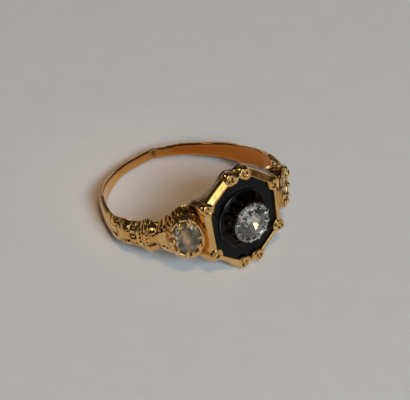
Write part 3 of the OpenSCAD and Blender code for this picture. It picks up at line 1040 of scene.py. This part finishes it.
def makeCollet(side, name):
    look = colletLook
    bm = bmesh.new()
    spinProfile(bm, [(look["stoneRadius"] + out, up) for out, up in look["profile"]], look["steps"])
    grime_and_shade, red_tint_and_reflection, foil, solder = (
        bm.verts.layers.float.new(layer) for layer in ("grime_and_shade", "red_tint_and_reflection", "foil", "solder")
    )
    for vert in bm.verts:
        turn = math.atan2(vert.co.y, vert.co.x)
        outer = math.hypot(vert.co.x, vert.co.y) > look["stoneRadius"] + look["outside"]
        patch = unevenness(vert.co, look["grimeAndShadePatch"], 1)
        if not outer and vert.co.z < look["cupTop"]:
            share, spread, most = look["cupGrime"]
            vert[foil] = 1
            vert[grime_and_shade] = limited(share + spread * patch, most)
        # painted shade on the rim, darker towards its top
        if outer and vert.co.z > look["rimFoot"]:
            share, onTop, spread, most = look["rimPaintedShade"]
            vert[grime_and_shade] = limited(share + onTop * math.sin(turn) + spread * patch, most)
        if outer and look["ribFrom"] < vert.co.z < look["ribTo"]:
            fade = fadeBetween(vert.co.z, look["ribFrom"], look["ribTo"])
            groove = 1 - abs(math.sin(look["ribs"] / 2 * turn + vert.co.z * look["ribLean"]))
            share, byBezel = look["ribByBezel"]
            groove *= share + byBezel * side * math.cos(turn)
            shrink = 1 - look["ribDepth"] * fade * groove ** look["ribSharpness"] / look["stoneRadius"]
            vert.co.x *= shrink
            vert.co.y *= shrink
            # painted shade over the ribbed wall, darkest in the grooves with grime, and a painted warm
            # reflection
            vert[grime_and_shade] = min(fade * (look["ribGrimeAndShade"] + groove ** look["ribGrimeAndShadeSharpness"]), 1)
            vert[red_tint_and_reflection] = look["ribRedReflection"] * fade
        low = 1 - limited((vert.co.z - look["footTop"]) / look["footFade"])
        squash, drop = look["foot"][side]
        vert.co.y = vert.co.y * (1 + (squash - 1) * low) + drop * low / look["tall"]
    addGrains(bm, side, solder)
    bmesh.ops.transform(bm, matrix=colletPlace(side, fingerRadius), verts=bm.verts)
    roughen(bm, *look["waves"])
    keepOffFinger(bm)
    finishPiece(bm, name, gold, "gold_mount")


makeCollet(-1, "left_collet")
makeCollet(1, "right_collet")
print("collets made")


# Centre setting: dark fluted silver with rubbed lip and claws, and a painted highlight on one side of the lip

settingLook = {
    "plateFront": 9.38,      # distance of the plate's face from the hoop's axis
    "height": 1.5,
    "stoneRadius": 1.80,
    "steps": 240,
    "waves": (0.5, 0.02),
    # radius and height above the plate, from the stem through the foot to the lip and into the cup
    "profile": [
        (0, 0.0), (3.02, 0.0), (3.12, 0.02), (3.15, 0.07), (3.12, 0.13), (3.02, 0.18), (2.90, 0.22),
        (2.84, 0.27), (2.80, 0.33), (2.74, 0.42), (2.66, 0.54), (2.58, 0.68), (2.50, 0.84),
        (2.42, 1.0), (2.34, 1.14), (2.25, 1.24), (2.17, 1.32), (2.13, 1.42), (2.08, 1.48),
        (2.00, 1.51), (1.90, 1.50), (1.79, 1.46), (1.75, 1.42), (1.80, 1.36), (1.80, 1.25),
        (1.6, 1.0), (0.6, 0.45), (0, 0.42),
    ],
    "flutes": 16,
    "fluteDepth": 0.24,
    "fluteFrom": 0.22,
    "fluteTo": 1.30,
    "fluteInside": 2.1,      # no flutes nearer to the middle than this
    "fluteSharpness": 1.5,
    # bright silver: the rubbed lip with a painted highlight on one side, and the foot's rubbed edge, from a
    # radius and height up, the cup inside them
    "lip": (1.73, 1.38),
    "lipShine": (0.30, 0.9, 0.7),    # share, share of its painted highlight on the bright side, turn of that side
    "footEdge": (3.08, 0.01),
    "footShine": 0.35,
    "cup": (1.85, 0.41),
    "cupShine": 0.9,
    "shineLevel": 0.5,
    "shinePatch": 1 / 0.9,
    "claws": 12,
    "clawRadius": 0.22,
    "clawShape": (1.7, 0.9, 0.8),
    "clawOutset": 0.04,
    "clawShine": (0.45, 1.2, 1 / 3),     # share, scatter and size of the noise
    "clawScatter": (0.3, 1 / 5),         # of their size, and size of the noise
    "clawTip": (0.6, 0.12),              # shine at the lip's height, and rise to the full shine
}


def addClaws(bm, rubbed_and_highlight):
    look = settingLook
    for i in range(look["claws"]):
        turn = (i + 0.5) * math.tau / look["claws"]
        reach = look["stoneRadius"] + look["clawOutset"]
        centre = Vector((reach * math.cos(turn), reach * math.sin(turn), look["height"]))
        share, spread, patch = look["clawShine"]
        shine = min(share + spread * abs(unevenness(centre, patch, 1)), 1)
        spread, patch = look["clawScatter"]
        size = look["clawRadius"] * (1 + unevenness(centre, patch, spread))
        atLip, rise = look["clawTip"]
        for vert in addBall(bm, centre, size, look["clawShape"], turn):
            vert[rubbed_and_highlight] = shine * limited((vert.co.z - look["height"]) / rise + atLip)


def makeSetting():
    look = settingLook
    bm = bmesh.new()
    spinProfile(bm, look["profile"], look["steps"])
    rubbed_and_highlight = bm.verts.layers.float.new("rubbed_and_highlight")
    for vert in bm.verts:
        reach = math.hypot(vert.co.x, vert.co.y)
        turn = math.atan2(vert.co.y, vert.co.x)
        if reach > look["fluteInside"] and look["fluteFrom"] < vert.co.z < look["fluteTo"]:
            fade = fadeBetween(vert.co.z, look["fluteFrom"], look["fluteTo"])
            flute = abs(math.cos(look["flutes"] * turn / 2)) ** look["fluteSharpness"]
            shrink = 1 - look["fluteDepth"] * fade * flute / reach
            vert.co.x *= shrink
            vert.co.y *= shrink
        patch = look["shineLevel"] + unevenness(vert.co, look["shinePatch"], 1)
        # the lip is rubbed bright, and a painted highlight brightens one side of it
        if reach > look["lip"][0] and vert.co.z > look["lip"][1]:
            share, bright, lit = look["lipShine"]
            vert[rubbed_and_highlight] = limited(share + bright * patch * max(math.cos(turn + lit), 0))
        elif reach > look["footEdge"][0] and vert.co.z > look["footEdge"][1]:
            vert[rubbed_and_highlight] = look["footShine"] * patch
        elif reach < look["cup"][0] and vert.co.z > look["cup"][1]:
            vert[rubbed_and_highlight] = look["cupShine"]
    addClaws(bm, rubbed_and_highlight)
    bmesh.ops.transform(bm, matrix=facingOut(0, look["plateFront"]), verts=bm.verts)
    roughen(bm, *look["waves"])
    finishPiece(bm, "centre_setting", silver, "centre_collet")


makeSetting()
print("setting made")


# Stones: old cuts with a small table, a high crown and a blunt culet

cutLook = {
    # shares of the radius, and of the heights above and below the girdle
    "table": 0.48,
    "star": 0.74,
    "starRise": 0.62,
    "lowerHalf": 0.55,
    "lowerHalfDepth": 0.62,
    "culet": 0.10,
    "depth": 0.80,           # millimetres under the girdle
    # play in the seat, girdle, crown, how far the girdle lies under the rim, degrees turned
    "centre": (0.01, 0.06, 0.58, 0.08, 10),
    "left": (0.04, 0.05, 0.38, 0.14, -14),
    "right": (0.04, 0.05, 0.18, 0.26, 14),
}


def makeStone(word, seatRadius, seat, material):
    look = cutLook
    play, girdle, crown, sunk, turned = look[word]
    radius, depth = seatRadius - play, look["depth"]
    bm = bmesh.new()

    def ringOf(count, reach, height, start):
        for i in range(count):
            turn = (i + start) * math.tau / count
            bm.verts.new((reach * math.cos(turn), reach * math.sin(turn), height))

    ringOf(8, radius * look["table"], crown, 0)
    ringOf(8, radius * look["star"], crown * look["starRise"], 0.5)
    ringOf(16, radius, 0, 0)
    ringOf(16, radius, -girdle, 0)
    ringOf(8, radius * look["lowerHalf"], -girdle - depth * look["lowerHalfDepth"], 0)
    ringOf(8, radius * look["culet"], -girdle - depth, 0.5)
    bmesh.ops.convex_hull(bm, input=bm.verts[:])
    flatAngle = math.radians(1)
    bmesh.ops.dissolve_limit(bm, angle_limit=flatAngle, verts=bm.verts, edges=bm.edges)
    place = seat @ Matrix.Translation((0, 0, -sunk)) @ Matrix.Rotation(math.radians(turned), 4, "Z")
    bmesh.ops.transform(bm, matrix=place, verts=bm.verts)
    finishPiece(bm, f"{word}_diamond", material, f"{word}_stone", smooth=False)


settingTop = facingOut(0, settingLook["plateFront"] + settingLook["height"])
makeStone("centre", settingLook["stoneRadius"], settingTop, clearStone)
for side, word in ((-1, "left"), (1, "right")):
    colletTop = colletPlace(side, fingerRadius + colletLook["height"])
    makeStone(word, colletLook["stoneRadius"], colletTop, greyStone)
print("stones made")

plate = frame["nodes"]["black_plate"]
plate.data.materials.clear()
plate.data.materials.append(onyx)


# Stage: pale paper, soft light, and the camera of the photograph

stageLook = {
    "paper": [(0.35, (0.635, 0.570, 0.570)), (0.65, (0.655, 0.588, 0.588))],
    "clouds": (3, 5, 0.7),
    "fibres": (0.5, 5, 0.6),
    "fibreBump": (0.05, 0.3),
    "rough": 0.85,
    "floorSize": 3.0,
    # the room's light from the horizon to overhead
    "room": [(0.0, (0.22, 0.185, 0.15)), (0.16, (0.065, 0.052, 0.040)), (0.6, (0.020, 0.016, 0.013))],
}


def makeFloor():
    look = stageLook
    bm = bmesh.new()
    bmesh.ops.create_grid(bm, x_segments=2, y_segments=2, size=look["floorSize"] / 2)
    mesh = bpy.data.meshes.new("floor")
    bm.to_mesh(mesh)
    bm.free()
    floor = bpy.data.objects.new("floor", mesh)
    scene.collection.objects.link(floor)
    material, tree, shader = newMaterial("paper")
    colour = ramp(tree, objectNoise(tree, *look["clouds"]), look["paper"])
    tree.links.new(colour, shader.inputs["Base Color"])
    shader.inputs["Roughness"].default_value = look["rough"]
    normal = bumpFrom(tree, objectNoise(tree, *look["fibres"]), *look["fibreBump"])
    tree.links.new(normal, shader.inputs["Normal"])
    mesh.materials.append(material)


def makeRoom():
    world = bpy.data.worlds.new("room")
    scene.world = world
    world.use_nodes = True
    tree = world.node_tree
    make = nodeMaker(tree)
    place = make("ShaderNodeTexCoord")
    parts = make("ShaderNodeSeparateXYZ")
    tree.links.new(place.outputs["Generated"], parts.inputs[0])
    colour = ramp(tree, parts.outputs["Z"], stageLook["room"])
    tree.links.new(colour, tree.nodes["Background"].inputs["Color"])
    tree.nodes["Background"].inputs["Strength"].default_value = 1.0


lightLook = {
    # direction from the ring, distance and size in metres, power, colour, and the rays that see the light
    "bulb": ((-0.22, -0.42, 1.0), 1.0, (0.14, 0.14), 2.65, (1.0, 0.69, 0.38), "diffuse transmission"),
    "daylight": ((-0.17, -0.755, 0.61), 0.9, (0.38, 0.30), 7.7, (0.62, 0.88, 1.0), "diffuse"),
    "ceiling": ((0.10, 0.10, 1.0), 1.0, (1.7, 1.7), 0.7, (1.0, 0.72, 0.46), "diffuse"),
    "sparkle": ((0.10, 0.10, 1.0), 1.0, (1.5, 1.5), 28, (1.0, 0.98, 0.91), "transmission"),
    "glint": ((-0.30, -0.70, 0.50), 1.0, (0.6, 0.6), 2.0, (1.0, 0.96, 0.86), "transmission"),
    "window": ((-0.08, -0.80, 0.60), 1.0, (0.46, 0.60), 1.6, (0.85, 0.97, 1.0), "glossy"),
    "lamp": ((-0.63, 0.19, 0.755), 1.0, (0.15, 0.15), 0.40, (1.0, 0.96, 0.88), "glossy"),
    "wall": ((0.50, 0.56, 0.66), 1.0, (0.9, 0.9), 0.28, (1.0, 0.95, 0.88), "glossy"),
    "doorway": ((0.50, 0.84, 0.22), 1.0, (0.16, 0.16), 0.25, (1.0, 0.97, 0.92), "glossy"),
}


def placeLight(data, location, away, seenBy):
    # a light shines along its -Z, so its Z is turned away from what it lights
    light = bpy.data.objects.new(data.name, data)
    light.visible_diffuse = "diffuse" in seenBy
    light.visible_glossy = "glossy" in seenBy
    light.visible_transmission = "transmission" in seenBy
    light.location = location
    light.rotation_mode = "QUATERNION"
    light.rotation_quaternion = away.to_track_quat("Z", "Y")
    scene.collection.objects.link(light)


def areaLight(name, direction, distance, size, power, colour, seenBy):
    # a soft rectangular light that faces the ring
    data = bpy.data.lights.new(name, "AREA")
    data.shape = "RECTANGLE"
    data.size, data.size_y = size
    data.energy = power
    data.color = colour
    heading = Vector(direction).normalized()
    placeLight(data, heading * distance, heading, seenBy)


glowLook = {
    "target": (-1.8, 5.6, 0),    # millimetres
    "away": (0, 60, 300),        # of the lamp from its target
    "lampRadius": 10,
    "spread": 2.6,               # degrees
    "blend": 1,
    "power": 1.3,
    "colour": (1.0, 0.68, 0.32),
}


def bandGlow():
    # the inside of the band throws warm light onto the paper within the ring
    look = glowLook
    data = bpy.data.lights.new("bandGlow", "SPOT")
    data.energy = look["power"]
    data.color = look["colour"]
    data.spot_size = math.radians(look["spread"])
    data.spot_blend = look["blend"]
    data.shadow_soft_size = look["lampRadius"] * millimetre
    away = Vector(look["away"])
    placeLight(data, (Vector(look["target"]) + away) * millimetre, away, "diffuse")


cameraLook = {
    "azimuth": 41.58,        # degrees to the left of the bezel's front
    "elevation": 41.27,
    "roll": 4.12,
    "distance": 268.2,       # millimetres from the target
    "target": (-1.766, -3.973, 6.043),
    "focalPixels": 2646.5,   # focal length in pixels of the 410 pixel wide picture
    "pictureWidth": 410,
    "sensorWidth": 36,
    "clip": (0.01, 10),      # metres
}


def makeCamera():
    look = cameraLook
    azimuth, elevation = math.radians(look["azimuth"]), math.radians(look["elevation"])
    back = Vector((
        -math.sin(azimuth) * math.cos(elevation),
        -math.cos(azimuth) * math.cos(elevation),
        math.sin(elevation),
    ))
    data = bpy.data.cameras.new("camera")
    data.sensor_width = look["sensorWidth"]
    data.lens = look["focalPixels"] * data.sensor_width / look["pictureWidth"]
    data.clip_start, data.clip_end = look["clip"]
    camera = bpy.data.objects.new("camera", data)
    camera.location = (Vector(look["target"]) + back * look["distance"]) * millimetre
    camera.rotation_mode = "QUATERNION"
    level = back.to_track_quat("Z", "Y")
    camera.rotation_quaternion = level @ Quaternion((0, 0, 1), math.radians(look["roll"]))
    scene.collection.objects.link(camera)
    scene.camera = camera


makeFloor()
makeRoom()
for name, light in lightLook.items():
    areaLight(name, *light)
bandGlow()
makeCamera()
scene.view_settings.view_transform = "Standard"
print("stage made")
